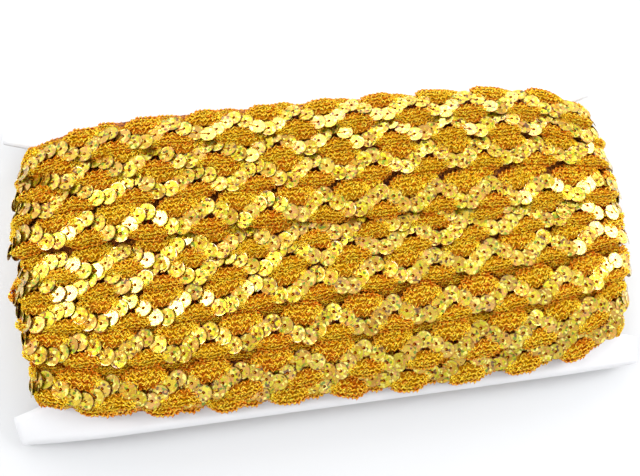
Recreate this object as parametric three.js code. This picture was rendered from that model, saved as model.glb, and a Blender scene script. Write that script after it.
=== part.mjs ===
// Gold sequin trim wound on a notched card.
// The card is a flat board with a dovetail notch in each short end. The trim, a scalloped braid with a wavy
// line of sequins, is wound lengthwise round the card and through both notches, ten turns side by side in the
// top layer over several layers below. The wound trim is one solid whose faces carry the ten turns: each has a
// scalloped lower edge that laps over the turn below it, and a ridge where its sequins run.
// Millimetres. X runs along the card, Y across it, Z up. The origin is under the middle, on the surface it lies on.
import * as THREE from "three";

// Driving sizes
const CARD_LENGTH = 230;
const CARD_WIDTH = 119;
const CARD_THICK = 1.2;
const TAB_TIP = 10.5; // height of a corner tab at its outer end
const TAB_ROOT = 14.5; // and where it meets the neck of the card
const NOTCH_DEPTH = 13.5;
const CARD_Z = 9; // middle of the card's thickness above the surface
const SLOT_GAP = 0.35; // between the card and the innermost turn

const SEQUIN = 6; // sequin diameter
const WAVE_LENGTH = 21.3; // one full wave of the sequin line
const WAVE_HEIGHT = 3.3; // the wave's swing to each side of a turn's middle line
const LOBE_REACH = 8.5; // from a turn's middle line to the tip of a lobe
const CUSP_REACH = WAVE_HEIGHT + SEQUIN / 2; // and to the edge between two lobes
const TOP_LOBE_REACH = 9.6; // the free lobes along the far edge lie flatter, so they reach further
const WAVES_PER_TURN = 22;

const HALF_NECK = CARD_LENGTH / 2 - NOTCH_DEPTH;
const TURN_LENGTH = WAVES_PER_TURN * WAVE_LENGTH;
const END_LENGTH = TURN_LENGTH / 2 - 2 * HALF_NECK; // along the turn, round one end of the card
const COLUMNS = 4 * WAVES_PER_TURN; // four columns of points to a wave

// The wound body's form
const HALF_WIDTH = 57; // from the middle to the edge, half way along
const TOP_RISE = 12; // top of the winding above the card, in the middle
const EDGE_RISE = 3; // and at its long edges
const END_DROP = 2.8; // the top falls by this towards each end
const UNDER_GAP = 1; // underside before its ridges are pressed flat on the surface
const UNDER_LIFT = 5; // the underside's outer turns rise by this from the surface
const UNDER_FLAT = 42; // half width of the flat part of the underside
const RIGHT_BULGE = 12; // how far the turns stand out past the neck, at the right end
const LEFT_BULGE = 7.6; // and at the left end

// Turns from the near edge to the far edge: the middle line half way along, and where a valley of its wave falls.
const TURNS = [
  { middle: -48.0, valley: -9.5 },
  { middle: -36.5, valley: -15.0 },
  { middle: -29.5, valley: -12.0 },
  { middle: -16.0, valley: -15.5 },
  { middle: -4.0, valley: -4.0 },
  { middle: 1.5, valley: 6.0 },
  { middle: 12.0, valley: -8.5 },
  { middle: 25.5, valley: -12.5 },
  { middle: 36.0, valley: -5.5 },
  { middle: 46.0, valley: -9.5 },
];

// Corner tabs that hang: which corner, and how far its tip is below the flat card.
const HANGING_CORNERS = [
  { side: -1, edge: -1, drop: 6.8 },
  { side: 1, edge: -1, drop: 3.4 },
  { side: 1, edge: 1, drop: 0.8 },
];
const FOLD_START = 80; // where a hanging corner's fold meets the card's long edge

const COLOURS = { trim: 0xd99a1c, card: 0xf4f4f6 };

const clamp = (value, low, high) => Math.min(high, Math.max(low, value));

// A closed mesh from a list of corner points and a list of triangles.
function solidFrom(points, triangles) {
  const geometry = new THREE.BufferGeometry();
  geometry.setAttribute("position", new THREE.Float32BufferAttribute(points.flat(), 3));
  geometry.setIndex(triangles.flat());
  geometry.computeVertexNormals();
  return geometry;
}

// Half the winding's width at a place along the top or the underside.
function halfWidthAt(x) {
  return HALF_WIDTH * Math.pow(1 - Math.pow(Math.min(Math.abs(x), HALF_NECK) / 124, 5), 0.4);
}

// How full the winding is at a place across it, from 1 in the middle to 0 past its edge.
function fullness(y) {
  const sharpness = y > 0 ? 9 : 4; // the far edge stays high and the near edge slopes down
  return clamp(1 - Math.pow(Math.abs(y) / 58, sharpness), 0, 1);
}

function topHeight(x, y) {
  const along = END_DROP * Math.pow(Math.abs(x) / HALF_NECK, 4);
  return CARD_Z + EDGE_RISE + (TOP_RISE - EDGE_RISE - along) * fullness(y);
}

function underHeight(y) {
  const past = Math.max(0, Math.abs(y) - UNDER_FLAT) / (HALF_WIDTH - UNDER_FLAT);
  return UNDER_GAP + UNDER_LIFT * past * past;
}

// How far the turns stand out past the neck of the card.
function bulge(side, y) {
  const full = side > 0 ? RIGHT_BULGE : LEFT_BULGE;
  return full * (1 - Math.pow(Math.min(Math.abs(y), 46) / 52, 2.2));
}

// Where a place on a turn lies. along is the length along the turn from half way along the top, towards +X;
// across is the place's y half way along; lift is how far it stands off the winding.
function place(along, across, lift) {
  const s = ((along % TURN_LENGTH) + TURN_LENGTH * 1.5) % TURN_LENGTH - TURN_LENGTH / 2;
  const under = TURN_LENGTH / 2 - HALF_NECK; // |s| where the underside begins
  const x = clamp(Math.abs(s), 0, HALF_NECK);
  if (Math.abs(s) <= HALF_NECK) {
    const y = across * halfWidthAt(s) / HALF_WIDTH;
    return [s, y, topHeight(s, y) + lift];
  }
  if (Math.abs(s) >= under) {
    const back = Math.sign(s) * (TURN_LENGTH / 2 - Math.abs(s));
    const y = across * halfWidthAt(back) / HALF_WIDTH;
    return [back, y, Math.max(0, underHeight(y) - lift)];
  }
  const side = Math.sign(s);
  const turn = Math.PI * (Math.abs(s) - HALF_NECK) / END_LENGTH;
  const y = across * halfWidthAt(x) / HALF_WIDTH * (1 - 0.06 * Math.sin(turn));
  const up = topHeight(x, y) - CARD_Z;
  const down = CARD_Z - underHeight(y);
  const tall = (Math.cos(turn) > 0 ? up : down) + lift;
  const z = CARD_Z + Math.cos(turn) * tall;
  return [side * (HALF_NECK + Math.sin(turn) * (bulge(side, y) + lift)), y, Math.max(0, z)];
}

// 1 at the tip of a lobe and 0 at the cusp between two, at a length past a lobe's tip.
function scallop(past) {
  const share = past / WAVE_LENGTH - Math.round(past / WAVE_LENGTH);
  return Math.sqrt(Math.max(0, 1 - 4 * share * share));
}

// The four lines of points that carry one turn, from its lower edge upwards: the foot of the lapping edge, its
// top, the ridge of sequins, and the part that runs under the next turn. Each is [across, lift].
function turnLines(turn, along) {
  const crest = turn.valley + WAVE_LENGTH / 2;
  const lobe = scallop(along - crest);
  const wave = Math.cos(2 * Math.PI * (along - crest) / WAVE_LENGTH);
  const edge = turn.middle - CUSP_REACH - (LOBE_REACH - CUSP_REACH) * lobe;
  return [
    [edge - 0.3, -1.1],
    [edge + 0.5, 0.35 + 0.8 * lobe],
    [turn.middle + WAVE_HEIGHT * wave, 1.1],
    [turn.middle + CUSP_REACH - 0.8, -0.1],
  ];
}

// One column of outer points, from the near edge to the far edge, kept in order where turns crowd together.
function outerColumn(column) {
  const lines = [];
  for (const turn of TURNS) {
    const quarter = WAVE_LENGTH / 4;
    const shift = turn.valley - Math.round(turn.valley / quarter) * quarter;
    const along = column * quarter + shift;
    const under = Math.abs(Math.abs(column * quarter - TURN_LENGTH / 2)) < HALF_NECK;
    for (const [across, lift] of turnLines(turn, along)) {
      lines.push({ along, across, lift: under && lift > 0 ? 1.3 : lift });
    }
  }
  const last = TURNS[TURNS.length - 1];
  const tip = scallop(lines[lines.length - 1].along - last.valley);
  const reach = CUSP_REACH + 0.6 + (TOP_LOBE_REACH - CUSP_REACH - 0.6) * tip;
  lines.push({ along: lines[lines.length - 1].along, across: last.middle + reach, lift: 0 });
  for (let i = lines.length - 2; i >= 0; i -= 1) {
    lines[i].across = Math.min(lines[i].across, lines[i + 1].across - 0.45);
  }
  return lines.map((line) => place(line.along, line.across, line.lift));
}

// The winding's inner wall beside the card, at one column: from the far edge to the near edge.
function innerColumn(column, outer) {
  const s = column * WAVE_LENGTH / 4 - (column > COLUMNS / 2 ? TURN_LENGTH : 0);
  const high = CARD_THICK / 2 + SLOT_GAP;
  const round = clamp((Math.abs(s) - HALF_NECK) / END_LENGTH, 0, 1);
  const x = Math.sign(s) * Math.min(Math.abs(s), TURN_LENGTH / 2 - Math.abs(s), HALF_NECK);
  const atEnd = round > 0 && round < 1;
  const wallX = x + Math.sign(s) * (atEnd ? SLOT_GAP + 0.1 * Math.sin(Math.PI * round) : 0);
  const z = CARD_Z + high * Math.cos(Math.PI * round);
  const limit = Math.abs(s) > HALF_NECK - 6 && Math.abs(s) < TURN_LENGTH / 2 - HALF_NECK + 6 ? 42.5 : HALF_WIDTH;
  const far = Math.min(outer[outer.length - 1][1] - 1.6, limit);
  const near = Math.max(outer[0][1] + 1.6, -limit);
  return [[wallX, far, z], [wallX, near, z]];
}

function windingGeometry() {
  const columns = [];
  for (let column = 0; column < COLUMNS; column += 1) {
    const outer = outerColumn(column);
    columns.push([...outer, ...innerColumn(column, outer)]);
  }
  const rows = columns[0].length;
  const triangles = [];
  for (let c = 0; c < COLUMNS; c += 1) {
    const next = (c + 1) % COLUMNS;
    for (let r = 0; r < rows; r += 1) {
      const up = (r + 1) % rows;
      const [a, b, d, e] = [c * rows + r, next * rows + r, next * rows + up, c * rows + up];
      triangles.push([a, b, d], [a, d, e]);
    }
  }
  return solidFrom(columns.flat(), triangles);
}

// How far the card hangs below its flat middle.
function hang(x, y) {
  let drop = 0;
  const root = [HALF_NECK, CARD_WIDTH / 2 - TAB_ROOT + 4];
  const start = [FOLD_START, CARD_WIDTH / 2];
  const fold = new THREE.Vector2(root[0] - start[0], root[1] - start[1]).normalize();
  const outward = new THREE.Vector2(-fold.y, fold.x);
  const reach = (px, py) => (px - start[0]) * outward.x + (py - start[1]) * outward.y;
  const sign = Math.sign(reach(CARD_LENGTH / 2, CARD_WIDTH / 2));
  const tip = sign * reach(CARD_LENGTH / 2, CARD_WIDTH / 2);
  for (const corner of HANGING_CORNERS) {
    const past = sign * reach(x * corner.side, y * corner.edge);
    drop += corner.drop * Math.pow(clamp(past / tip, 0, 1), 1.7);
  }
  return drop;
}

// The card, a plate built over a grid of cells with the two notches left out.
function cardGeometry() {
  const halfLength = CARD_LENGTH / 2;
  const halfWidth = CARD_WIDTH / 2;
  const xs = [];
  for (const share of [1, 0.75, 0.5, 0.25]) xs.push(-HALF_NECK - NOTCH_DEPTH * share);
  for (const x of [HALF_NECK, 97, 93, 89, 85, 81, 60, 30]) xs.push(-x);
  xs.push(0);
  const mirrored = xs.slice(0, -1).reverse().map((x) => -x);
  xs.push(...mirrored);
  const shares = [1, 0.8, 0.6, 0.4, 0.2, 0];
  const lineAt = (x, line) => {
    const outward = clamp((Math.abs(x) - HALF_NECK) / NOTCH_DEPTH, 0, 1);
    const tab = TAB_ROOT + (TAB_TIP - TAB_ROOT) * outward;
    const below = line < shares.length;
    const share = below ? shares[line] : shares[2 * shares.length - 1 - line];
    const y = halfWidth - tab * (1 - share);
    return below ? -y : y;
  };
  const lineCount = 2 * shares.length;
  const present = (i, j) => {
    const inNotch = Math.abs((xs[i] + xs[i + 1]) / 2) > HALF_NECK && j === shares.length - 1;
    return i >= 0 && j >= 0 && i < xs.length - 1 && j < lineCount - 1 && !inNotch;
  };
  const points = [];
  const index = new Map();
  const corner = (i, j, side) => {
    const key = `${i} ${j} ${side}`;
    if (!index.has(key)) {
      const x = xs[i];
      const y = lineAt(x, j);
      index.set(key, points.length);
      points.push([x, y, CARD_Z + side * CARD_THICK / 2 - hang(x, y)]);
    }
    return index.get(key);
  };
  const triangles = [];
  const quad = (a, b, c, d) => triangles.push([a, b, c], [a, c, d]);
  for (let i = 0; i < xs.length - 1; i += 1) {
    for (let j = 0; j < lineCount - 1; j += 1) {
      if (!present(i, j)) continue;
      quad(corner(i, j, 1), corner(i + 1, j, 1), corner(i + 1, j + 1, 1), corner(i, j + 1, 1));
      quad(corner(i, j, -1), corner(i, j + 1, -1), corner(i + 1, j + 1, -1), corner(i + 1, j, -1));
      const sides = [
        [i, j - 1, [i, j], [i + 1, j]],
        [i + 1, j, [i + 1, j], [i + 1, j + 1]],
        [i, j + 1, [i + 1, j + 1], [i, j + 1]],
        [i - 1, j, [i, j + 1], [i, j]],
      ];
      for (const [ni, nj, from, to] of sides) {
        if (present(ni, nj)) continue;
        quad(corner(...from, -1), corner(...to, -1), corner(...to, 1), corner(...from, 1));
      }
    }
  }
  return solidFrom(points, triangles);
}

// The loose end of the trim: its last lobe, lying over the left end of the winding.
function looseEndGeometry() {
  const start = -(HALF_NECK + 0.72 * END_LENGTH); // low on the left end
  const length = 14.5;
  const middle = -8;
  const steps = 8;
  const strips = 6;
  const points = [];
  const layer = [];
  for (const lift of [1.55, 3.0]) {
    const rows = [];
    for (let i = 0; i <= steps; i += 1) {
      const share = i / steps;
      const half = 2.4 + 3.6 * Math.sqrt(Math.max(0, 1 - Math.pow(2 * share - 1, 2)));
      const row = [];
      for (let j = 0; j <= strips; j += 1) {
        const side = 2 * j / strips - 1;
        row.push(points.length);
        points.push(place(start + length * share, middle + half * side * HALF_WIDTH / halfWidthAt(HALF_NECK), lift));
      }
      rows.push(row);
    }
    layer.push(rows);
  }
  const [low, high] = layer;
  const triangles = [];
  const quad = (a, b, c, d) => triangles.push([a, b, c], [a, c, d]);
  for (let i = 0; i < steps; i += 1) {
    for (let j = 0; j < strips; j += 1) {
      quad(high[i][j], high[i + 1][j], high[i + 1][j + 1], high[i][j + 1]);
      quad(low[i][j], low[i][j + 1], low[i + 1][j + 1], low[i + 1][j]);
    }
    quad(low[i][0], low[i + 1][0], high[i + 1][0], high[i][0]);
    quad(low[i + 1][strips], low[i][strips], high[i][strips], high[i + 1][strips]);
  }
  for (let j = 0; j < strips; j += 1) {
    quad(low[0][j + 1], low[0][j], high[0][j], high[0][j + 1]);
    quad(low[steps][j], low[steps][j + 1], high[steps][j + 1], high[steps][j]);
  }
  return solidFrom(points, triangles);
}

function named(name, geometry, colour, roughness, metalness) {
  const material = new THREE.MeshStandardMaterial({ color: colour, roughness, metalness });
  const mesh = new THREE.Mesh(geometry, material);
  mesh.name = name;
  return mesh;
}

const part = new THREE.Group();
part.add(named("winding", windingGeometry(), COLOURS.trim, 0.4, 0.6));
part.add(named("card", cardGeometry(), COLOURS.card, 0.85, 0));
part.add(named("loose_end", looseEndGeometry(), COLOURS.trim, 0.4, 0.6));

export default part;
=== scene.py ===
# %% [markdown]
# # A gold sequin trim wound on a card
#
# The object is a length of scalloped braid, about 17 mm wide, with a wavy line of 6 mm sequins sewn along
# its middle. It is wound lengthwise round a flat white card whose short ends have dovetail notches. The
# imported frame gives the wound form, the card and the loose end as plain solids. This script dresses them. It
# makes one half wave of the braid and one sequin in detail, repeats them with Geometry Nodes along straight
# turns, and then bends every turn round the card with one function.

# %% Load the frame
import math
import bmesh
import bpy
import numpy as np
from mathutils import Matrix, Vector


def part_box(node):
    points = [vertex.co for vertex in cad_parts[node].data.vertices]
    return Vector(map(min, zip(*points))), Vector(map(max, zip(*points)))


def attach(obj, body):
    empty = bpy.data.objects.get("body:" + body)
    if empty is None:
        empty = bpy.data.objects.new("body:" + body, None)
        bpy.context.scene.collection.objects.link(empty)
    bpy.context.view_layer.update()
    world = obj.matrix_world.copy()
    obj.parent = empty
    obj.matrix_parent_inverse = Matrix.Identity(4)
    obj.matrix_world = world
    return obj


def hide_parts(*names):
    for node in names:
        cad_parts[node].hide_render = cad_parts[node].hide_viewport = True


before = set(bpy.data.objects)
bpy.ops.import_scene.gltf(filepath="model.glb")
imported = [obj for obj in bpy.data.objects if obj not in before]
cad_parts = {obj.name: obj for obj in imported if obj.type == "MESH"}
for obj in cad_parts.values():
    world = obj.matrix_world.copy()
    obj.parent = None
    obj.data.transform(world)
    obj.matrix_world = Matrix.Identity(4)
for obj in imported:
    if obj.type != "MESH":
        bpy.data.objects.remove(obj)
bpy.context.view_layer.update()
MM = 0.001

# %% [markdown]
# ## Sizes
#
# Everything is worked out from a few real sizes of the braid and of the card, in millimetres. The card's
# length comes from the frame. Each row of the table is one turn of the top layer, from the near edge to the
# far edge: the place of its middle line half way along, the place of one valley of its sequin line, how far
# it lies above or below the layer's face, how much its near edge curls down, how far it runs aslant, and how
# much tighter its waves lie on the top than below. One turn is nearly hidden under the next, so it lies
# lower, and the nearest turn lies flat on the card.

# %% Sizes of the braid, the winding and its turns
card_low, card_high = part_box("card")
CARD_LENGTH = (card_high.x - card_low.x) / MM
CARD_THICK = 1.2
CARD_Z = 9.0
NOTCH_DEPTH = 13.5
SLOT_GAP = 0.35

SEQUIN = 6.0
SEQUIN_HOLE = 1.15
SEQUIN_SHARES = (0.0, 0.195, 0.385, 0.56, 0.71, 0.855)
WAVE_LENGTH = 21.3
WAVE_HEIGHT = 3.3
LOBE_REACH = 8.6
WAVES_PER_TURN = 22

HALF_NECK = CARD_LENGTH / 2 - NOTCH_DEPTH
TURN_LENGTH = WAVES_PER_TURN * WAVE_LENGTH
END_LENGTH = TURN_LENGTH / 2 - 2 * HALF_NECK

HALF_WIDTH = 57.0
CORNER_REACH = 124.0
TOP_RISE = 12.0
EDGE_RISE = 3.0
EDGE_REACH = 58.0
NEAR_SHARPNESS = 4.0
FAR_SHARPNESS = 9.0
END_DROP = 2.8
END_NARROWING = 0.06
UNDER_GAP = 1.6
UNDER_LIFT = 5.0
UNDER_FLAT = 42.0
UNDER_PRESS = 0.55
RIGHT_BULGE = 12.0
LEFT_BULGE = 6.8
BULGE_FLAT = 46.0
BULGE_REACH = 52.0
TIGHT_DEPTH = 2.6
TIGHT_PLACE = -29.0
TIGHT_WIDTH = 11.0
FACE_DEPTH = 1.5
LOWEST = 0.05

ROW_KEYS = ("middle", "valley", "lift", "curl", "tilt", "squeeze")
TURNS = [dict(zip(ROW_KEYS, row)) for row in (
    (-48.0, -9.5, -0.3, 0.2, -1.5, 0.0),
    (-43.0, -3.5, 0.1, 0.6, 2.8, 0.7),
    (-29.0, 8.5, 0.3, 1.0, 2.4, 0.9),
    (-15.0, 4.4, 0.2, 1.0, 4.0, 0.7),
    (-3.5, -3.8, 0.0, 1.0, 4.5, -1.4),
    (4.0, 3.8, -0.7, 1.0, 4.5, -0.4),
    (11.5, 10.2, 0.3, 1.0, -1.0, 3.4),
    (25.3, 8.1, 0.3, 1.0, 0.5, 1.6),
    (36.0, -5.0, 0.1, 1.0, 2.0, 0.4),
    (45.0, 3.0, 0.0, 1.0, 1.5, -1.5),
)]
print("turns", len(TURNS), "length of one turn", round(TURN_LENGTH, 1), "mm")

# %% [markdown]
# ## Bending a flat turn round the card
#
# A turn is made flat and straight: x runs along it, y across it and z up from it. The last function here
# carries any such point to its place on the winding. Along the top the height follows a low pillow, round
# the ends the turn follows an ellipse, and along the underside it comes back, pressed flatter by the weight.
# No point goes below the floor.

# %% The winding's form
def half_width(x):
    """Half the winding's width at a place along it, a little less near the ends."""
    return HALF_WIDTH * (1 - (np.minimum(np.abs(x), HALF_NECK) / CORNER_REACH) ** 5) ** 0.4


def fullness(y):
    """1 in the middle of the winding and 0 past its edges; the near edge slopes more than the far one."""
    sharpness = np.where(y > 0, FAR_SHARPNESS, NEAR_SHARPNESS)
    return np.clip(1 - (np.abs(y) / EDGE_REACH) ** sharpness, 0, 1)


def top_height(x, y):
    along = END_DROP * (np.abs(x) / HALF_NECK) ** 4
    return CARD_Z + EDGE_RISE + (TOP_RISE - EDGE_RISE - along) * fullness(y)


def under_height(y):
    past = np.maximum(0, np.abs(y) - UNDER_FLAT) / (HALF_WIDTH - UNDER_FLAT)
    return UNDER_GAP + UNDER_LIFT * past * past


def bulge(side, y):
    """How far the turns stand out past the card's neck. Near the left end's near corner they sit tighter."""
    full = np.where(side > 0, RIGHT_BULGE, LEFT_BULGE)
    tight = np.where(side > 0, 0.0, TIGHT_DEPTH) * np.exp(-((y - TIGHT_PLACE) / TIGHT_WIDTH) ** 2)
    return full * (1 - (np.minimum(np.abs(y), BULGE_FLAT) / BULGE_REACH) ** 2.2) - tight


def from_top(along):
    """A length along a turn, counted from the middle of the top to half a turn either way."""
    return (along + 1.5 * TURN_LENGTH) % TURN_LENGTH - 0.5 * TURN_LENGTH


def wind(along, across, lift):
    """Points in millimetres for lengths along a turn, places across the winding and lifts off its face."""
    along, across, lift = np.broadcast_arrays(*(np.asarray(v, float) for v in (along, across, lift)))
    s = from_top(along)
    side = np.where(s < 0, -1.0, 1.0)
    length = np.abs(s)
    angle = math.pi * np.clip((length - HALF_NECK) / END_LENGTH, 0, 1)
    x = np.minimum(np.minimum(length, TURN_LENGTH / 2 - length), HALF_NECK)
    y = across * half_width(x) / HALF_WIDTH * (1 - END_NARROWING * np.sin(angle))
    press = 1 - (1 - UNDER_PRESS) * np.clip(-np.cos(angle), 0, 1)
    lift = lift - FACE_DEPTH * np.clip(1 + np.cos(angle), 0, 1)
    up = top_height(x, y) - CARD_Z + lift
    down = CARD_Z - under_height(y) + lift * press
    z = CARD_Z + np.cos(angle) * np.where(np.cos(angle) > 0, up, down)
    reach = np.sin(angle) * (bulge(side, y) + lift * press)
    return np.stack([side * (x + reach), y, np.maximum(z, LOWEST)], axis=-1)


print("top of the winding", wind(0, 0, 0).round(1), "right end", wind(TURN_LENGTH / 4, 0, 0).round(1))

# %% [markdown]
# ## Shader arithmetic
#
# Node trees are easier to read as formulas. A Value wraps one number socket, and its operators add Math
# nodes, so a mask can be written as 1 - noise. A Finish holds one material and adds any other node by type.

# %% Helpers for materials
def feed(tree, given, socket):
    """Gives a socket a link from another socket, or a plain value."""
    if isinstance(given, bpy.types.NodeSocket):
        tree.links.new(given, socket)
    else:
        socket.default_value = given


class Value:
    """A number socket that takes part in ordinary arithmetic."""

    def __init__(self, finish, socket):
        self.finish = finish
        self.socket = socket

    def maths(self, operation, *others):
        return self.finish.value("ShaderNodeMath", {"operation": operation}, [self, *others])

    def __add__(self, other):
        return self.maths("ADD", other)

    def __sub__(self, other):
        return self.maths("SUBTRACT", other)

    def __rsub__(self, other):
        return (self * -1) + other

    def __mul__(self, other):
        return self.maths("MULTIPLY", other)

    def clamp(self):
        return self.maths("MAXIMUM", 0.0).maths("MINIMUM", 1.0)


class Finish:
    """One material and a short way to add and join its nodes."""

    def __init__(self, name):
        self.material = bpy.data.materials.new(name)
        self.material.use_nodes = True
        self.tree = self.material.node_tree
        self.shader = self.tree.nodes["Principled BSDF"]
        self.place = self.node("ShaderNodeTexCoord").outputs["Object"]

    def node(self, kind, settings=None, inputs=None):
        node = self.tree.nodes.new(kind)
        for key, setting in (settings or {}).items():
            setattr(node, key, setting)
        pairs = inputs.items() if isinstance(inputs, dict) else enumerate(inputs or [])
        for key, given in pairs:
            self.join(given, node.inputs[key])
        return node

    def join(self, given, socket):
        feed(self.tree, given.socket if isinstance(given, Value) else given, socket)

    def value(self, kind, settings=None, inputs=None, output=0):
        return Value(self, self.node(kind, settings, inputs).outputs[output])

    def noise(self, size, detail=2.0):
        """Noise whose lumps are about this many millimetres across."""
        wanted = {"Vector": self.place, "Scale": 1 / (size * MM), "Detail": detail}
        return self.value("ShaderNodeTexNoise", inputs=wanted, output="Fac")

    def attribute(self, name):
        return self.value("ShaderNodeAttribute", {"attribute_name": name}, output="Fac")

    def vector(self, operation, inputs):
        return self.node("ShaderNodeVectorMath", {"operation": operation}, inputs).outputs[0]

    def mix(self, share, first, second):
        """A colour between two colours."""
        node = self.node("ShaderNodeMix", {"data_type": "RGBA"})
        self.join(share, node.inputs["Factor"])
        self.join(first, node.inputs[6])
        self.join(second, node.inputs[7])
        return node.outputs[2]

    def ramp(self, share, stops, smooth=True):
        """A colour picked along a list of (place, colour) stops."""
        node = self.node("ShaderNodeValToRGB", inputs=[share])
        node.color_ramp.interpolation = "LINEAR" if smooth else "CONSTANT"
        while len(node.color_ramp.elements) < len(stops):
            node.color_ramp.elements.new(0.5)
        for element, (place, tint) in zip(node.color_ramp.elements, stops):
            element.position = place
            element.color = tint
        return node.outputs["Color"]

    def bump(self, height, depth, strength=1.0):
        wanted = {"Height": height, "Distance": depth * MM, "Strength": strength}
        bumped = self.node("ShaderNodeBump", inputs=wanted)
        self.join(bumped.outputs["Normal"], self.shader.inputs["Normal"])

    def give(self, **inputs):
        for key, given in inputs.items():
            self.join(given, self.shader.inputs[key.replace("_", " ")])
        return self.material


def colour(red, green, blue):
    """A linear colour from the 0 to 255 values that a picture shows."""
    linear = [((v / 255 + 0.055) / 1.055) ** 2.4 if v > 10 else v / 255 / 12.92 for v in (red, green, blue)]
    return (*linear, 1.0)


# %% [markdown]
# ## The finishes
#
# The braid is crocheted from metallised yarn: a deep orange core wrapped with bright flat strip, so it is a
# mix of matt orange and hard little glints. The glints are painted highlights in its colour, and its
# crevices get painted shade. The sequins are thin embossed film with a rainbow foil: pale gold, lemon, green
# and rose facets about a millimetre across, and a darker rim and underside that are painted shade. Both read
# Object coordinates and a random number that each repeated piece carries, so that no two sequins match.

# %% The finishes
FACET = 0.85
FACET_LEAN = 0.18


def metallised_yarn(name, crevice_shade, deep, middle, glint_highlight, glint):
    finish = Finish(name)
    slow = finish.noise(3.0, detail=1.0)
    fine = finish.noise(0.5, detail=1.0)
    crown = finish.attribute("crown")
    tone = finish.attribute("tone") * 0.9 + slow * 0.9 + finish.attribute("shade") * 0.25
    base = finish.mix(((tone - 1.0) * 2.4 + 0.55).clamp(), deep, middle)
    # Painted highlights: bright specks of glint colour on the raised parts of the stitches.
    painted_glints = ((fine - glint) * 12).clamp() * crown
    lit = finish.mix(painted_glints, base, glint_highlight)
    # Painted shade: where crown is low, in crevices and under strands, the colour goes to the crevice shade.
    paint = finish.mix((crown * 2.3).clamp(), crevice_shade, lit)
    # Painted shade: dark specks of the crevice shade scattered between the stitches.
    paint = finish.mix(((0.45 - fine) * 12).clamp() * 0.55, paint, crevice_shade)
    finish.bump(finish.noise(0.35, detail=1.0), 0.2, 0.7)
    return finish.give(Base_Color=paint, Metallic=0.35, Roughness=0.45 - painted_glints * 0.22,
                       Specular_IOR_Level=0.02)


def sequin_foil(name):
    finish = Finish(name)
    shade = finish.attribute("shade")
    facets = {"Vector": finish.place, "Scale": 1 / (FACET * MM)}
    cells = finish.node("ShaderNodeTexVoronoi", inputs=facets)
    facet = finish.node("ShaderNodeSeparateColor", inputs=[cells.outputs["Color"]])
    pick = Value(finish, facet.outputs[0])
    rainbow = finish.ramp(pick, [
        (0.0, colour(208, 158, 30)),
        (0.2, colour(224, 210, 20)),
        (0.4, colour(255, 244, 120)),
        (0.58, colour(222, 156, 72)),
        (0.7, colour(104, 60, 4)),
        (0.8, colour(196, 190, 12)),
        (0.92, colour(112, 140, 14)),
    ], smooth=False)
    plain = finish.ramp(shade, [
        (0.0, colour(204, 152, 24)),
        (0.35, colour(222, 194, 46)),
        (0.76, colour(214, 158, 66)),
        (0.9, colour(190, 142, 20)),
    ])
    showing = ((Value(finish, facet.outputs[1]) - 0.25) * 6).clamp() * 0.95
    paint = finish.mix(showing, plain, rainbow)
    crown = finish.attribute("crown")
    # Painted shade: a dark rim outline and a darker side and underside, for the shadows round each disc.
    paint = finish.mix(((crown - 0.78) * 6).clamp() * 0.65, paint, colour(138, 84, 10))
    paint = finish.mix(((0.6 - crown) * 4).clamp() * 0.8, paint, colour(92, 48, 6))
    centred = finish.vector("SUBTRACT", [cells.outputs["Color"], (0.5, 0.5, 0.5)])
    lean = finish.vector("SCALE", {"Vector": centred, "Scale": FACET_LEAN})
    face = finish.node("ShaderNodeNewGeometry").outputs["Normal"]
    normal = finish.vector("NORMALIZE", [finish.vector("ADD", [face, lean])])
    return finish.give(Base_Color=paint, Metallic=0.85, Roughness=pick * 0.12 + 0.25, Normal=normal,
                       Coat_Weight=0.85, Coat_Roughness=0.12, Coat_IOR=1.6)


# Painted shade: the layers below in dark browns, for the deep shadow they lie in.
def under_braid(name):
    finish = Finish(name)
    tone = finish.ramp(finish.noise(1.2, detail=2.0), [
        (0.35, colour(90, 30, 6)),
        (0.5, colour(160, 84, 8)),
        (0.68, colour(226, 148, 16)),
    ])
    finish.bump(finish.noise(0.6), 0.6, 1.0)
    return finish.give(Base_Color=tone, Metallic=0.15, Roughness=0.7)


def paperboard(name):
    finish = Finish(name)
    fibre = finish.noise(0.5, detail=3.0)
    cloud = finish.noise(18.0, detail=2.0)
    face = finish.mix((cloud * 0.6 + fibre * 0.3).clamp(), colour(221, 222, 225), colour(230, 230, 232))
    # The edges' grey is partly the colour of cut board and partly painted shade.
    paint = finish.mix(finish.attribute("cut_and_shade"), face, colour(176, 174, 176))
    finish.bump(fibre, 0.05, 0.35)
    return finish.give(Base_Color=paint, Roughness=fibre * 0.15 + 0.62)


YARN = metallised_yarn("gold yarn", colour(110, 30, 0), colour(255, 130, 0), colour(255, 200, 0),
                       colour(255, 252, 104), 0.455)
FOIL = sequin_foil("sequin foil")
UNDER = under_braid("inner layers")
PAPER = paperboard("white paperboard")
print("finishes", [m.name for m in (YARN, FOIL, UNDER, PAPER)])

# %% [markdown]
# ## Mesh helpers
#
# Small shapes are collected in a list of points and faces, in millimetres, and turned into a mesh at the
# end. A strand is a thin grain between two points, like one stitch of yarn. A tube has rings of points along
# a path.

# %% Mesh helpers
STRAND_SIDES = 3


def placed(name, data):
    """A new object with this data, put in the scene."""
    piece = bpy.data.objects.new(name, data)
    bpy.context.scene.collection.objects.link(piece)
    return piece


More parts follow.
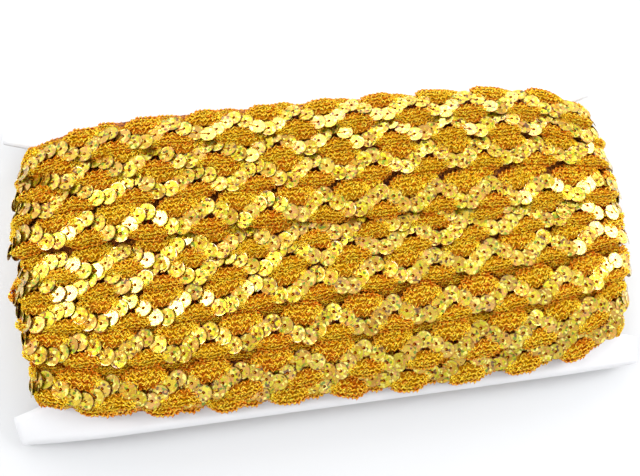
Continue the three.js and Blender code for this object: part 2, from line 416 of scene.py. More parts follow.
class Shape:
    """Points in millimetres and faces that become one mesh."""

    def __init__(self):
        self.points = []
        self.faces = []
        self.crowns = []
        self.tones = []

    def add(self, points, faces, crown=None, tone=0.5):
        """Takes in points and faces.

        crown says how far each point stands out of the crevices; by default it follows the heights of the
        points given. The finishes paint shade where it is low and glints where it is high. tone says how light
        its yarn is. Both run from 0 to 1.
        """
        start = len(self.points)
        self.points.extend(tuple(p) for p in points)
        self.faces.extend(tuple(start + i for i in face) for face in faces)
        heights = np.array([p[2] for p in points])
        spread = max(1e-6, heights.max() - heights.min())
        self.crowns.extend((heights - heights.min()) / spread if crown is None else [crown] * len(points))
        self.tones.extend([tone] * len(points))

    def object(self, name, material):
        mesh = bpy.data.meshes.new(name)
        mesh.from_pydata([tuple(v * MM for v in p) for p in self.points], [], self.faces)
        for label, values in (("crown", self.crowns), ("tone", self.tones)):
            mesh.attributes.new(label, "FLOAT", "POINT").data.foreach_set("value", values)
        mesh.materials.append(material)
        return placed(name, mesh)


def tube(path, radii, sides, up=(0, 0, 1), flatten=1.0):
    """Points and faces of a closed tube along a path, with its own radius at each point."""
    path = np.asarray(path, float)
    steps = np.gradient(path, axis=0)
    steps /= np.linalg.norm(steps, axis=1)[:, None]
    across = np.cross(steps, up)
    across /= np.linalg.norm(across, axis=1)[:, None]
    upward = np.cross(across, steps)
    turns = 2 * math.pi * np.arange(sides) / sides
    points = []
    for centre, a, u, radius in zip(path, across, upward, radii):
        for turn in turns:
            points.append(centre + radius * (a * math.cos(turn) + flatten * u * math.sin(turn)))
    faces = []
    for ring in range(len(path) - 1):
        for i in range(sides):
            low, high = ring * sides, (ring + 1) * sides
            j = (i + 1) % sides
            faces.append((low + j, low + i, high + i, high + j))
    faces.append(tuple(range(sides)))
    faces.append(tuple(reversed(range((len(path) - 1) * sides, len(path) * sides))))
    return points, faces


def strand(start, end, radius):
    """One short stitch of yarn: a grain with pointed ends and a thick middle."""
    start, end = np.asarray(start, float), np.asarray(end, float)
    step = end - start
    across = np.cross(step, (0, 0, 1))
    across /= np.linalg.norm(across)
    upward = np.cross(across, step / np.linalg.norm(step))
    turns = 2 * math.pi * (np.arange(STRAND_SIDES) / STRAND_SIDES) + math.pi / 2
    ring = [(start + end) / 2 + radius * (across * math.cos(t) + upward * math.sin(t)) for t in turns]
    faces = []
    for i in range(STRAND_SIDES):
        j = (i + 1) % STRAND_SIDES
        faces.append((STRAND_SIDES, i, j))
        faces.append((STRAND_SIDES + 1, j, i))
    return [*ring, start, end], faces


# %% [markdown]
# ## One half wave of the braid
#
# The braid is the same pattern over and over: a ground cord that follows a wave, and at each bend a puffy
# crocheted scallop. One half wave holds a bend of the cord and its scallop, and turned half round it is the
# next half wave. The scallop is a low pillow shaped like a lens. Five courses of stitches run along its arcs
# with furrows between them, where the pad shows in painted crevice shade. The last course, along the edge,
# is painted darker as shade under the scallop's edge, and the one at the root a little darker too. A few
# bars tie the scallop to the cord, painted in the crevice shade as the dark gap between sequins and scallop.

# %% One half wave
HALF_SPAN = 7.4
LENS_TOP = -0.6
LENS_END = -3.9
PUFF = 2.1
# Each course's light scales its stitches' tone: painted shade, a little at the root and most at the edge.
COURSES = [
    {"place": 0.04, "stitches": 12, "radius": 0.54, "light": 0.7},
    {"place": 0.28, "stitches": 15, "radius": 0.58, "light": 0.9},
    {"place": 0.52, "stitches": 16, "radius": 0.60, "light": 1.0},
    {"place": 0.76, "stitches": 17, "radius": 0.60, "light": 0.9},
    {"place": 1.00, "stitches": 19, "radius": 0.62, "light": 0.3},
]
FILAMENTS = 58
FILAMENT_RADIUS = 0.22
LEGS = 7
LEG_RADIUS = 0.5
CORD_REACH = 5.5
CORD_RADIUS = 0.95
CORD_HEIGHT = 0.9
CORD_APART = 1.1
CORD_SWELL = 0.45
CORD_TWIST = 2.4
PAD_REACH = 0.98
PAD_SINK = 0.4
rng = np.random.default_rng(7)


def lens(a, b):
    """A place on the scallop: a runs from -1 to 1 along it and b from 0 at its root to 1 at the tip."""
    round_off = math.sqrt(max(0.0, 1 - a * a))
    inner = LENS_TOP + (LENS_END - LENS_TOP) * a * a
    outer = LENS_END - (LOBE_REACH + LENS_END) * round_off
    height = 0.4 + PUFF * (1 - (1.3 * b - 0.6) ** 2) * round_off ** 0.5
    return np.array([HALF_SPAN * a, inner + (outer - inner) * b, height])


def pad():
    """The low closed pad under the stitches, coloured mostly in the crevice shade: painted shade between them.
    """
    columns, rows = 10, 4
    places = [-PAD_REACH + 2 * PAD_REACH * i / columns for i in range(columns + 1)]
    grid = [[lens(place, j / rows) for j in range(rows + 1)] for place in places]
    points = [p - (0, 0, PAD_SINK) for column in grid for p in column]
    points += [(p[0], p[1], -PAD_SINK) for column in grid for p in column]
    layer = (columns + 1) * (rows + 1)
    faces = []
    for i in range(columns):
        for j in range(rows):
            a = i * (rows + 1) + j
            b = a + rows + 1
            faces.append((a, a + 1, b + 1, b))
            faces.append((layer + a, layer + b, layer + b + 1, layer + a + 1))
    for i in range(columns):
        a = i * (rows + 1)
        b = a + rows + 1
        faces.append((a, b, layer + b, layer + a))
        faces.append((b + rows, a + rows, layer + a + rows, layer + b + rows))
    last = columns * (rows + 1)
    for j in range(rows):
        faces.append((j + 1, j, layer + j, layer + j + 1))
        faces.append((last + j, last + j + 1, layer + last + j + 1, layer + last + j))
    return points, faces


def slanted(a, b, slant, reach, lift=0.0):
    """The two ends of a stitch at a place on the scallop, turned by slant from the arc that passes there."""
    middle = lens(a, b) + (0, 0, lift)
    course = lens(min(1, a + 0.03), b) - lens(max(-1, a - 0.03), b)
    angle = math.atan2(course[1], course[0]) + slant
    step = np.array([math.cos(angle), math.sin(angle), rng.uniform(-0.15, 0.15)]) * reach
    return middle - step, middle + step


def stitches(shape):
    """Courses of stitches along the scallop's arcs, leaning in and out like a plait, and loose filaments."""
    for course in COURSES:
        count = course["stitches"]
        for k in range(count):
            a = -0.95 + 1.9 * k / (count - 1) + rng.uniform(-0.02, 0.02)
            b = course["place"] + rng.uniform(-0.05, 0.05)
            slant = (0.7 if k % 2 else -0.7) + rng.uniform(-0.35, 0.35)
            start, end = slanted(a, b, slant, rng.uniform(0.95, 1.3), rng.uniform(-0.1, 0.25))
            bundle = strand(start, end, course["radius"] * rng.uniform(0.85, 1.1))
            shape.add(*bundle, tone=rng.uniform(0.2, 0.9) * course["light"])
    for _ in range(FILAMENTS):
        a, b, slant = rng.uniform(-0.9, 0.9), rng.uniform(0.05, 0.98), rng.uniform(-1.5, 1.5)
        start, end = slanted(a, b, slant, reach=0.7, lift=0.5)
        shape.add(*strand(start, end, FILAMENT_RADIUS), crown=1.0, tone=1.0)


def legs(shape):
    """The bars that tie the scallop's root to the cord, painted fully in the crevice shade as a dark gap."""
    for k in range(LEGS):
        a = -0.8 + 1.6 * k / (LEGS - 1)
        root = lens(a, 0.1)
        wave = WAVE_HEIGHT * math.cos(2 * math.pi * root[0] * 0.8 / WAVE_LENGTH)
        cord = np.array([root[0] * 0.8, wave - 0.4, 0.7])
        # crown 0 gives the bars the full crevice shade: painted shade between sequins and scallop.
        shape.add(*strand(cord, root - (0, 0, 0.5), LEG_RADIUS), crown=0.0)


def ground_cord(shape):
    """The two strands twisted along the wave, which the sequins are sewn on."""
    places = np.linspace(-CORD_REACH, CORD_REACH, 7)
    cord = [(x, WAVE_HEIGHT * math.cos(2 * math.pi * x / WAVE_LENGTH)) for x in places]
    for phase in (0.0, math.pi):
        twist = [CORD_TWIST * i + phase for i in range(len(cord))]
        swing = [(CORD_APART * math.cos(w), CORD_SWELL * math.sin(w)) for w in twist]
        path = [(x, y + beside, CORD_HEIGHT + above) for (x, y), (beside, above) in zip(cord, swing)]
        shape.add(*tube(path, [CORD_RADIUS] * len(path), 4, flatten=0.7))


def half_wave_of_braid():
    """The half wave, flat, with the cord's bend at the top and the scallop below it."""
    shape = Shape()
    # The pad's low crown paints it mostly in the crevice shade.
    shape.add(*pad(), crown=0.16)
    stitches(shape)
    legs(shape)
    ground_cord(shape)
    return shape.object("half wave", YARN)


half_wave = half_wave_of_braid()
half_wave.data.calc_loop_triangles()
print("triangles in one half wave", len(half_wave.data.loop_triangles))

# %% [markdown]
# ## One sequin
#
# A sequin is a flat disc of film with a punched hole and a slightly raised rim. It is made as rings of
# points that close on themselves, so that it has a real thickness. One stitch of thread goes with it, and
# under its hole a small flat disc in the crevice shade, painted shadow for what the eye sees through the hole.

# %% One sequin
FILM = 0.14
RIM_WIDTH = 0.36
RIM_RISE = 0.05
SIDES = 14
THREAD_RADIUS = 0.13
HOLE_SHADOW_RADIUS = 0.66
HOLE_SHADOW_SIDES = 6


def sequin():
    shape = Shape()
    hole, rim = SEQUIN_HOLE / 2, SEQUIN / 2
    section = [(hole, FILM), (rim - RIM_WIDTH, FILM), (rim, FILM + RIM_RISE), (rim, RIM_RISE), (hole, 0.0)]
    points = []
    for i in range(SIDES):
        turn = 2 * math.pi * i / SIDES
        points += [(r * math.cos(turn), r * math.sin(turn), z) for r, z in section]
    faces = []
    count = len(section)
    for i in range(SIDES):
        for j in range(count):
            a, b = i * count, (i + 1) % SIDES * count
            k = (j + 1) % count
            faces.append((a + j, a + k, b + k, b + j))
    shape.add(points, faces)
    return shape.object("one sequin", FOIL)


def sewing_thread():
    """The stitch that holds a sequin: a thread up through its hole and over its edge.

    Under the hole lies a flat dark disc, painted shadow for what the eye sees through the hole.
    """
    shape = Shape()
    rim = SEQUIN / 2
    profile = [(0.0, -0.1), (-0.2, 0.3), (-1.4, 0.28), (-rim, 0.25), (-rim - 0.25, -0.3)]
    path = [(x, 0.0, z) for x, z in profile]
    # The thread's low crown paints it partly in the crevice shade.
    shape.add(*tube(path, [THREAD_RADIUS] * len(path), 3, up=(0, 1, 0)), crown=0.25)
    angles = [2 * math.pi * i / HOLE_SHADOW_SIDES for i in range(HOLE_SHADOW_SIDES)]
    hole_shadow = [(HOLE_SHADOW_RADIUS * math.cos(angle), HOLE_SHADOW_RADIUS * math.sin(angle), 0.0) for angle in angles]
    # Painted shadow: a flat disc in the full crevice shade under the hole, seen through it.
    shape.add(hole_shadow, [tuple(range(HOLE_SHADOW_SIDES))], crown=0.0)
    return shape.object("one thread", YARN)


one_sequin = sequin()
one_thread = sewing_thread()
one_sequin.data.calc_loop_triangles()
print("triangles in one sequin", len(one_sequin.data.loop_triangles))

# %% [markdown]
# ## The repeating trees
#
# Two Geometry Nodes trees do the repeating. The first lays half waves along a straight line, every other
# one turned half round. The second sews sequins on points that carry the way that they face, with a small
# seeded tilt for each. Both store a random shade on every copy before the copies are made real.

# %% Tree helpers
def new_tree(name, inputs):
    """An empty Geometry Nodes tree with named inputs after its geometry."""
    tree = bpy.data.node_groups.new(name, "GeometryNodeTree")
    tree.interface.new_socket("Geometry", in_out="INPUT", socket_type="NodeSocketGeometry")
    tree.interface.new_socket("Geometry", in_out="OUTPUT", socket_type="NodeSocketGeometry")
    for label, kind in inputs:
        tree.interface.new_socket(label, in_out="INPUT", socket_type=kind)
    return tree, tree.nodes.new("NodeGroupInput"), tree.nodes.new("NodeGroupOutput")


def tree_node(tree, kind, settings=None, **inputs):
    """A node with its settings, and with values or links for the inputs named."""
    node = tree.nodes.new(kind)
    for key, setting in (settings or {}).items():
        setattr(node, key, setting)
    for key, given in inputs.items():
        feed(tree, given, next(s for s in node.inputs if s.name == key.replace("_", " ") and s.enabled))
    return node


def shown(node, name=None):
    """The node's output in use, by its name where it has several."""
    return next(s for s in node.outputs if s.enabled and (name is None or s.name == name))


def reckoned(tree, kind, operation, *given):
    """What a maths node of this kind makes of two values or links."""
    node = tree_node(tree, kind, {"operation": operation})
    for value, socket in zip(given, node.inputs):
        feed(tree, value, socket)
    return shown(node)


def dealt(tree, low, high, seed, kind="FLOAT"):
    """A random number or vector for each copy."""
    wanted = {"Min": low, "Max": high, "Seed": seed}
    return shown(tree_node(tree, "FunctionNodeRandomValue", {"data_type": kind}, **wanted))


def finish_copies(tree, copies, seed, material, output):
    """Gives each copy its shade, makes the copies real and sets their material."""
    shade = dealt(tree, 0.0, 1.0, seed)
    per_copy = {"data_type": "FLOAT", "domain": "INSTANCE"}
    stored = tree_node(tree, "GeometryNodeStoreNamedAttribute", per_copy,
                       Geometry=copies, Name="shade", Value=shade)
    real = tree_node(tree, "GeometryNodeRealizeInstances", Geometry=shown(stored))
    painted = tree_node(tree, "GeometryNodeSetMaterial", Geometry=shown(real), Material=material)
    tree.links.new(shown(painted), output.inputs[0])


def run_tree(name, tree, source, settings):
    """Runs a tree on an object and returns the result as a plain object."""
    modifier = source.modifiers.new(tree.name, "NODES")
    modifier.node_group = tree
    for item in tree.interface.items_tree:
        if item.in_out == "INPUT" and item.name in settings:
            modifier[item.identifier] = settings[item.name]
    depsgraph = bpy.context.evaluated_depsgraph_get()
    mesh = bpy.data.meshes.new_from_object(source.evaluated_get(depsgraph))
    mesh.name = name
    bpy.data.objects.remove(source)
    return placed(name, mesh)


# %% The braid tree and the sewing tree
def braid_tree():
    inputs = [("Half Wave", "NodeSocketObject"), ("Count", "NodeSocketInt"), ("Step", "NodeSocketFloat"),
              ("Swing", "NodeSocketFloat"), ("Spread", "NodeSocketFloat"), ("Seed", "NodeSocketInt"),
              ("Finish", "NodeSocketMaterial")]
    tree, given, output = new_tree("braid", inputs)
    offset = tree_node(tree, "ShaderNodeCombineXYZ", X=given.outputs["Step"])
    line = tree_node(tree, "GeometryNodeMeshLine", {"mode": "OFFSET"}, Count=given.outputs["Count"],
                     Offset=shown(offset))
    index = tree_node(tree, "GeometryNodeInputIndex")
    odd = reckoned(tree, "ShaderNodeMath", "MODULO", shown(index), 2)
    half_turn = reckoned(tree, "ShaderNodeMath", "MULTIPLY", odd, given.outputs["Swing"])
    least = reckoned(tree, "ShaderNodeMath", "MULTIPLY", given.outputs["Spread"], -1)
    wobble = dealt(tree, least, given.outputs["Spread"], given.outputs["Seed"])
    angle = reckoned(tree, "ShaderNodeMath", "ADD", half_turn, wobble)
    facing = tree_node(tree, "ShaderNodeCombineXYZ", Z=angle)
    item = tree_node(tree, "GeometryNodeObjectInfo", Object=given.outputs["Half Wave"])
    copies = tree_node(tree, "GeometryNodeInstanceOnPoints", Points=shown(line), Rotation=shown(facing),
                       Instance=shown(item, "Geometry"))
    finish_copies(tree, shown(copies), given.outputs["Seed"], given.outputs["Finish"], output)
    return tree


def sewing_tree():
    inputs = [("Sequin", "NodeSocketObject"), ("Tilt", "NodeSocketFloat"), ("Seed", "NodeSocketInt"),
              ("Finish", "NodeSocketMaterial")]
    tree, given, output = new_tree("sewing", inputs)
    vectors = {"data_type": "FLOAT_VECTOR"}
    facing = tree_node(tree, "GeometryNodeInputNamedAttribute", vectors, Name="facing")
    turned = tree_node(tree, "FunctionNodeEulerToRotation", Euler=shown(facing, "Attribute"))
    unit = dealt(tree, (-1, -1, -0.7), (1, 1, 0.7), given.outputs["Seed"], "FLOAT_VECTOR")
    most = given.outputs["Tilt"]
    amount = tree_node(tree, "ShaderNodeCombineXYZ", X=most, Y=most, Z=1.0)
    tilt = reckoned(tree, "ShaderNodeVectorMath", "MULTIPLY", unit, shown(amount))
    lean = tree_node(tree, "FunctionNodeEulerToRotation", Euler=tilt)
    both = tree_node(tree, "FunctionNodeRotateRotation", {"rotation_space": "LOCAL"},
                     Rotation=shown(turned), Rotate_By=shown(lean))
    item = tree_node(tree, "GeometryNodeObjectInfo", Object=given.outputs["Sequin"])
    copies = tree_node(tree, "GeometryNodeInstanceOnPoints", Points=given.outputs["Geometry"],
                       Rotation=shown(both), Instance=shown(item, "Geometry"))
    finish_copies(tree, shown(copies), given.outputs["Seed"], given.outputs["Finish"], output)
    return tree


BRAID = braid_tree()
SEWING = sewing_tree()
print("trees", BRAID.name, SEWING.name)

# %% [markdown]
# ## The turns of braid
#
# Each turn is repeated flat and then wound. Across its width a turn slopes: its near edge lies over the next
# turn and its far edge is tucked under the one beyond, which is what gives the winding its shingled look.
# Where the next turn is far off, the far lobes lie free and higher.

# %% The turns of braid
LAP_HIGH = 3.1
LAP_LOW = -0.2
LAP_OPEN = 1.6
CURL_START = 3.0
CURL_SHARE = 0.62
CURL_DROP = 2.0
CLOSE_TURN = 10.0
FAR_TURN = 13.0
SWAY = 0.3
JOSTLE = 0.25
WOBBLE = 0.05


def free_room(turn):
    """0 where the next turn lies close beyond this one, up to 1 where it is far off."""
    beyond = [other["middle"] - turn["middle"] for other in TURNS if other["middle"] > turn["middle"]]
    room = min(beyond, default=CLOSE_TURN) - CLOSE_TURN
    return min(1.0, max(0.0, room / (FAR_TURN - CLOSE_TURN)))


def lie(turn, across):
    """Where a place across a turn's width comes to rest, as a place across and a height.

    The near edge is high, because it lies over the next turn, and its last few millimetres curl down.
    """
    curl = turn["curl"]
    share = (across + LOBE_REACH) / (2 * LOBE_REACH)
    beyond = np.maximum(0, -across - CURL_START)
    far_edge = LAP_LOW + LAP_OPEN * free_room(turn)
    rise = (LAP_HIGH + (far_edge - LAP_HIGH) * share) * (0.35 + 0.65 * curl)
    drop = CURL_DROP * (beyond / (LOBE_REACH - CURL_START)) ** 2
    return across + beyond * (1 - CURL_SHARE) * curl, rise - drop * curl


def sway(turn, along):
    """The turn's middle line wanders a little, as hand-guided winding does, and meets itself again."""
    phase = turn["middle"] * 0.7
    round_trip = 2 * math.pi * along / TURN_LENGTH
    return SWAY * (np.sin(3 * round_trip + phase) + 0.6 * np.sin(7 * round_trip + 2 * phase))


def jostle(turn, along):
    """How far the neighbours push a turn sideways and up at each place along it."""
    phase = turn["middle"] * 1.9
    round_trip = 2 * math.pi * along / TURN_LENGTH
    sideways = np.sin(29 * round_trip + phase) + np.sin(41 * round_trip + 3 * phase)
    upwards = np.sin(23 * round_trip + 2 * phase) + np.sin(37 * round_trip + 5 * phase)
    return JOSTLE * sideways, 0.7 * JOSTLE * upwards


def wind_turn(turn, flat):
    """Carries a turn's flat points, in millimetres, to their places on the winding."""
    along, across, height = flat.T
    sideways, upwards = jostle(turn, along)
    rest, rise = lie(turn, across)
    aslant = np.sin(2 * math.pi * along / TURN_LENGTH)
    middle = turn["middle"] + turn["tilt"] * aslant + sway(turn, along) + sideways
    return wind(along - turn["squeeze"] * aslant, middle + rest, turn["lift"] + upwards + rise + height)


def moved(piece, change):
    """Passes all of a piece's points, in millimetres, through a function."""
    mesh = piece.data
    points = np.zeros(len(mesh.vertices) * 3, np.float32)
    mesh.vertices.foreach_get("co", points)
    changed = change(points.reshape(-1, 3).astype(float) / MM) * MM
    mesh.vertices.foreach_set("co", changed.astype(np.float32).ravel())
    mesh.update()
    return piece


def braid_of(name, turn, seed, outer_only=False):
    """One turn of braid. With outer_only it has just the scallops that point to the nearer long edge."""
    line = placed("line", bpy.data.meshes.new("line"))
    settings = {"Half Wave": half_wave, "Count": 2 * WAVES_PER_TURN, "Step": WAVE_LENGTH / 2 * MM,
                "Swing": math.pi, "Spread": WOBBLE, "Seed": seed, "Finish": YARN}
    crest = turn["valley"] + WAVE_LENGTH / 2
    flip = 1.0
    if outer_only:
        settings.update({"Count": WAVES_PER_TURN, "Step": WAVE_LENGTH * MM, "Swing": 0.0})
        flip = -1.0 if turn["middle"] > 0 else 1.0
    piece = run_tree(name, BRAID, line, settings)
    moved(piece, lambda flat: wind_turn(turn, flat * (flip, flip, 1) + (crest, 0, 0)))
    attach(piece, "root")
    return piece


braids = [braid_of(f"turn_{number:02d}_braid", turn, 100 + number) for number, turn in enumerate(TURNS, 1)]
print("braid pieces", len(braids), "faces in one", len(braids[0].data.polygons))

# %% [markdown]
# The layers below show along the two long edges, as more scallops one under the other, and a little in the
# widest seams. Those scallops are turns too, with nothing on their other side.

# %% The scallops of the lower layers
LOWER_TURNS = [dict(zip(ROW_KEYS, row)) for row in (
    (46.4, -1.5, -3.0, 1.0, 1.5, 0.0),
    (46.0, 5.0, -5.1, 1.0, 1.0, 0.0),
    (-46.8, -2.5, -2.0, 0.2, -1.0, 0.0),
    (-31.4, -3.5, -2.2, 1.0, 2.5, 0.0),
    (-17.4, -10.0, -2.2, 1.0, 3.0, 0.0),
    (13.8, 4.0, -0.3, 1.0, 0.0, 2.0),
)]
lower = []
for number, turn in enumerate(LOWER_TURNS, 1):
    lower.append(braid_of(f"lower_scallops_{number}", turn, 200 + number, outer_only=True))
print("lower scallops", len(lower))

# %% [markdown]
# ## The lines of sequins
#
# The sequins follow the wave, each a little over the next one, and closer together where the wave climbs.
# Each point carries its facing as three angles, worked out from the winding's own face at that place.

# %% The lines of sequins
SEQUIN_HEIGHT = 1.9
SEQUIN_LOWEST = 0.45
SEQUIN_NUDGE = 0.22
SEQUIN_TILT = 0.1
OVERLAP_TILT = 0.14
FACING_STEP = 0.5
WAVE_STEPS = 400


def wave_places():
    """Where the sequins of one wave fall along the wavy line."""
    x = np.linspace(0, WAVE_LENGTH, WAVE_STEPS)
    y = WAVE_HEIGHT * np.cos(2 * math.pi * x / WAVE_LENGTH)
    length = np.concatenate([[0], np.cumsum(np.hypot(np.diff(x), np.diff(y)))])
    wanted = length[-1] * np.array(SEQUIN_SHARES)
    return np.interp(wanted, length, x), np.interp(wanted, length, y)


def sequin_points(number, turn):
    step_x, step_y = wave_places()
    shake = np.random.default_rng(900 + number)
    flat = []
    crest = turn["valley"] + WAVE_LENGTH / 2
    for wave in range(WAVES_PER_TURN):
        for x, y in zip(step_x, step_y):
            nudge = shake.normal(0, SEQUIN_NUDGE, 2)
            height = SEQUIN_HEIGHT + shake.uniform(-0.15, 0.25)
            flat.append((crest + wave * WAVE_LENGTH + x + nudge[0], y + nudge[1], height))
    return np.array(flat)


def facing_of(turn, flat):
    """The angles that lay a disc on the winding at each point, a little tilted along the line."""
    middle = wind_turn(turn, flat)
    ahead = wind_turn(turn, flat + (FACING_STEP, 0, 0)) - middle
    beside = wind_turn(turn, flat + (0, FACING_STEP, 0)) - middle
    ahead /= np.linalg.norm(ahead, axis=1)[:, None]
    normal = np.cross(ahead, beside)
    normal /= np.linalg.norm(normal, axis=1)[:, None]
    normal = normal - ahead * OVERLAP_TILT
    normal /= np.linalg.norm(normal, axis=1)[:, None]
    angles = []
    for n, a in zip(normal, ahead):
        side = np.cross(n, a)
        side /= np.linalg.norm(side)
        forward = np.cross(side, n)
        angles.append(Matrix(np.stack([forward, side, n], axis=1).tolist()).to_euler())
    return middle, np.array([tuple(e) for e in angles])


def sequins_of(number, turn):
    """One turn's sequins and their threads, as two pieces."""
    middle, angles = facing_of(turn, sequin_points(number, turn))
    middle[:, 2] = np.maximum(middle[:, 2], SEQUIN_LOWEST)
    mesh = bpy.data.meshes.new("sewing points")
    mesh.from_pydata([tuple(p * MM) for p in middle], [], [])
    facing = mesh.attributes.new("facing", "FLOAT_VECTOR", "POINT")
    facing.data.foreach_set("vector", angles.astype(np.float32).ravel())
    pieces = []
    for kind, pattern, material in (("sequins", one_sequin, FOIL), ("threads", one_thread, YARN)):
        settings = {"Sequin": pattern, "Tilt": SEQUIN_TILT, "Seed": 300 + number, "Finish": material}
        points = placed("sewing points", mesh)
        pieces.append(run_tree(f"turn_{number:02d}_{kind}", SEWING, points, settings))
    for piece in pieces:
        moved(piece, lambda place: np.maximum(place, (-np.inf, -np.inf, LOWEST)))
        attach(piece, "root")
    return pieces


sequins = [sequins_of(number, turn) for number, turn in enumerate(TURNS, 1)]
print("sequin pieces", len(sequins), "sequins in all", len(TURNS) * WAVES_PER_TURN * len(SEQUIN_SHARES))

# %% [markdown]
# ## The loose end
#
# The trim's last lobe lies over the left end of the winding. Its ground is a thin closed ribbon of cloth
# with the outline of the solid, and it carries one half wave of the braid, made smaller to fit.

# %% The loose end
END_START = -(HALF_NECK + 0.72 * END_LENGTH)
END_REACH = 14.5
END_MIDDLE = -8.0
END_LIFT = 2.9
END_THICK = 1.0
END_SCALE = 0.76
END_SCALE_UP = 0.95
AREA_STEPS = 40


def ribbon_half(share):
    """Half the ribbon's width at a share of its length."""
    return 2.4 + 3.6 * math.sqrt(max(0.0, 1 - (2 * share - 1) ** 2))


def ribbon():
    steps, strips = 14, 8
    shape = Shape()
    layers = []
    for lift in (END_LIFT, END_LIFT + END_THICK):
        for i in range(steps + 1):
            half = ribbon_half(i / steps)
            place = END_START + END_REACH * i / steps
            sides = [2 * j / strips - 1 for j in range(strips + 1)]
            layers += [tuple(wind(place, END_MIDDLE + half * v, lift)) for v in sides]
    count = strips + 1
    top = (steps + 1) * count
    faces = []
    for i in range(steps):
        for j in range(strips):
            a, b = i * count + j, (i + 1) * count + j
            faces.append((top + a, top + b, top + b + 1, top + a + 1))
            faces.append((a, a + 1, b + 1, b))
        a, b = i * count, (i + 1) * count
        faces.append((a, b, top + b, top + a))
        faces.append((b + strips, a + strips, top + a + strips, top + b + strips))
    last = steps * count
    for j in range(strips):
        faces.append((j + 1, j, top + j, top + j + 1))
        faces.append((last + j, last + j + 1, top + last + j + 1, top + last + j))
    # The ribbon's low crown paints it about half in the crevice shade.
    shape.add(layers, faces, crown=0.22)
    return shape.object("loose_end_ribbon", YARN)


def loose_end():
    """Makes the ribbon and its lobe, and returns the ribbon's flat area."""
    ground = ribbon()
    lobe = placed("loose_end_lobe", half_wave.data.copy())

    def laid(flat):
        x, y, z = (flat * (END_SCALE, END_SCALE, END_SCALE_UP)).T
        return wind(END_START + END_REACH / 2 + x, END_MIDDLE + 1.6 + y, END_LIFT + END_THICK + z)

    moved(lobe, laid)
    widths = [2 * ribbon_half((i + 0.5) / AREA_STEPS) for i in range(AREA_STEPS)]
    area = sum(widths) / AREA_STEPS * END_REACH
    for piece in (ground, lobe):
        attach(piece, "root")
    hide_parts("loose_end")
    return area


print("loose end, flat area", round(loose_end(), 1), "square mm")

# %% [markdown]
# ## The inner layers
#
# Between the scallops the eye looks down on the layers below, which are the same braid in deep shadow. One
# closed sleeve round the card stands for them, and its dark browns are painted shade for that shadow. Its
# face is lowered a little below the turns and is lumpy with the scallops of the layer beneath, and its inner
# wall leaves the same slot for the card as the solid does, narrower at the notches.

# %% The inner layers
SINK = 0.1
LUMP = 0.35
LUMP_WIDTH = 8.0
WALL = 1.2
NOTCH_HALF_WIDTH = 42.5
NOTCH_MARGIN = 6
ALONG_STEPS = 352
ACROSS_STEPS = 56
INNER_SHARES = (0.0, 0.25, 0.5, 0.75, 1.0)


def inner_layers():
    along = TURN_LENGTH * np.arange(ALONG_STEPS) / ALONG_STEPS
    across = np.linspace(-HALF_WIDTH + 4.0, HALF_WIDTH - 4.5, ACROSS_STEPS)
    s, t = np.meshgrid(along, across, indexing="ij")
    lumps = LUMP * np.sin(2 * math.pi * s / (WAVE_LENGTH / 2)) * np.sin(2 * math.pi * t / LUMP_WIDTH)
    lumps += 0.2 * np.sin(s * 1.3 + t * 2.1) * np.sin(s * 0.9 - t * 1.7)
    edge = np.clip((np.abs(t) - (HALF_WIDTH - 10)) / 6, 0, 1)
    outer = wind(s, t, -SINK + lumps - 0.8 * edge)
    length = np.abs(from_top(along))
    side = np.where(from_top(along) < 0, -1.0, 1.0)
    turn = np.clip((length - HALF_NECK) / END_LENGTH, 0, 1)
    x = side * np.minimum(np.minimum(length, TURN_LENGTH / 2 - length), HALF_NECK)
    at_end = (turn > 0) & (turn < 1)
    x = x + side * np.where(at_end, SLOT_GAP, 0)
    z = CARD_Z + (CARD_THICK / 2 + SLOT_GAP) * np.cos(math.pi * turn)
    past_top = length > HALF_NECK - NOTCH_MARGIN
    before_under = length < TURN_LENGTH / 2 - HALF_NECK + NOTCH_MARGIN
    limit = np.where(past_top & before_under, NOTCH_HALF_WIDTH, HALF_WIDTH)
    shape = Shape()
    points = []
    for i in range(ALONG_STEPS):
        far = min(outer[i, -1, 1] - WALL, limit[i])
        near = max(outer[i, 0, 1] + WALL, -limit[i])
        points += [tuple(p) for p in outer[i]]
        points += [(x[i], far + (near - far) * share, z[i]) for share in INNER_SHARES]
    count = ACROSS_STEPS + len(INNER_SHARES)
    faces = []
    for i in range(ALONG_STEPS):
        a, b = i * count, (i + 1) % ALONG_STEPS * count
        faces += [(a + j, b + j, b + (j + 1) % count, a + (j + 1) % count) for j in range(count)]
    shape.add(points, faces)
    piece = shape.object("inner_layers", UNDER)
    piece.data.shade_smooth()
    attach(piece, "root")
    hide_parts("winding")
    return piece


layers = inner_layers()
print("inner layers", len(layers.data.polygons), "faces")

# %% [markdown]
# ## The card
#
# The card's solid already has the right outline and its hanging corners. In a copy of it the points that
# coincide are merged, and its cut edges get a hair of rounding and a greyer colour, partly the colour that
# cut board has and partly painted shade on the edges.

# %% The card
EDGE_ROUND = 0.18
SAME_POINT = 0.02
RIM_ANGLE = 50
SHARP_ANGLE = 35


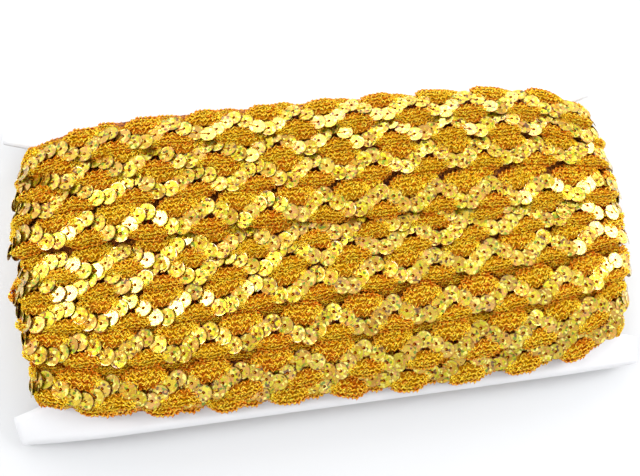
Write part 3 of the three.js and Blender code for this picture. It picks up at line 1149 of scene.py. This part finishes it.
def card():
    mesh = bpy.data.meshes.new("card_board")
    work = bmesh.new()
    work.from_mesh(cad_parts["card"].data)
    bmesh.ops.remove_doubles(work, verts=work.verts, dist=SAME_POINT * MM)
    bmesh.ops.recalc_face_normals(work, faces=work.faces)
    folds = [e for e in work.edges if len(e.link_faces) == 2]
    rims = [e for e in folds if e.calc_face_angle() > math.radians(RIM_ANGLE)]
    bmesh.ops.bevel(work, geom=rims, offset=EDGE_ROUND * MM, segments=2, affect="EDGES", clamp_overlap=True)
    work.to_mesh(mesh)
    work.free()
    # Side faces get the grey: cut board colour and painted shade.
    cut_and_shade = mesh.attributes.new("cut_and_shade", "FLOAT", "FACE")
    cut_and_shade.data.foreach_set("value", [float(abs(face.normal.z) < 0.6) for face in mesh.polygons])
    mesh.materials.clear()
    mesh.materials.append(PAPER)
    mesh.shade_smooth()
    mesh.set_sharp_from_angle(angle=math.radians(SHARP_ANGLE))
    piece = placed("card_board", mesh)
    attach(piece, "root")
    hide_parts("card")
    return piece


board = card()
print("card", len(board.data.polygons), "faces")

# %% [markdown]
# ## The stage
#
# A plain pale floor and a soft sky, plain near the horizon and patchy overhead so that the foil has
# something to mirror. A window beyond the far edge and a small lamp on either side light the discs near the
# two ends. The camera stands where the picture was taken from: close above the card, a little to the left.

# %% The stage
def area_light(name, place, aim, size, power):
    data = bpy.data.lights.new(name, "AREA")
    data.shape = "RECTANGLE"
    data.size, data.size_y = size
    data.energy = power
    light = placed(name, data)
    light.location = place
    light.rotation_euler = (Vector(aim) - Vector(place)).to_track_quat("-Z", "Y").to_euler()


floor_mesh = bpy.data.meshes.new("floor")
floor_mesh.from_pydata([(-3, -3, 0), (3, -3, 0), (3, 3, 0), (-3, 3, 0)], [], [(0, 1, 2, 3)])
floor = placed("floor", floor_mesh)
pale = Finish("pale floor")
floor_mesh.materials.append(pale.give(Base_Color=(0.665, 0.675, 0.69, 1.0), Roughness=0.9))

world = bpy.data.worlds.new("soft sky")
world.use_nodes = True
sky = world.node_tree
direction = tree_node(sky, "ShaderNodeTexCoord").outputs["Generated"]
height = tree_node(sky, "ShaderNodeSeparateXYZ", Vector=direction).outputs["Z"]
overhead = tree_node(sky, "ShaderNodeMapRange", {"interpolation_type": "SMOOTHSTEP"}, Value=height,
                     From_Min=0.35, From_Max=0.6)
patches = tree_node(sky, "ShaderNodeTexVoronoi", Vector=direction, Scale=4.0)
level = tree_node(sky, "ShaderNodeValToRGB", Fac=patches.outputs["Distance"])
for stop, place, light in zip(level.color_ramp.elements, (0.25, 0.55), (1.5, 0.35)):
    stop.position = place
    stop.color = (light, light, light, 1.0)
blend = tree_node(sky, "ShaderNodeMix", {"data_type": "RGBA"}, Factor=shown(overhead),
                  A=(0.95, 0.95, 0.96, 1.0), B=level.outputs["Color"])
backdrop = sky.nodes["Background"]
feed(sky, shown(blend), backdrop.inputs["Color"])
backdrop.inputs["Strength"].default_value = 1.35
bpy.context.scene.world = world

area_light("back window", (0.05, 0.85, 0.55), (0, 0, 0), (0.7, 0.35), 3.3)
area_light("left lamp", (-0.39, 0.165, 0.455), (-0.085, 0, 0.02), (0.07, 0.32), 1.1)
area_light("right lamp", (0.46, 0.13, 0.345), (0.093, 0, 0.02), (0.2, 0.3), 1.75)

bpy.context.scene.view_settings.view_transform = "Standard"
CAMERA_PLACE = (-0.02001, -0.02349, 0.1863 + CARD_Z * MM)
CAMERA_RIGHT = (0.99021, -0.1159, 0.07774)
CAMERA_UP = (0.10383, 0.98403, 0.14458)
CAMERA_BACK = (-0.09326, -0.13509, 0.98643)
camera_data = bpy.data.cameras.new("camera")
camera_data.sensor_width = 36.0
camera_data.lens = 28.125
camera_data.clip_start = 0.01
camera = placed("camera", camera_data)
turned = Matrix((CAMERA_RIGHT, CAMERA_UP, CAMERA_BACK)).transposed()
camera.matrix_world = Matrix.Translation(CAMERA_PLACE) @ turned.to_4x4()
bpy.context.scene.camera = camera
print("camera at", [round(v / MM) for v in CAMERA_PLACE], "mm")

# %% [markdown]
# ## Removing the patterns
#
# The three patterns that the trees copied aren't part of the object, so they go.

# %% Removing the patterns
for pattern in (half_wave, one_sequin, one_thread):
    bpy.data.objects.remove(pattern)
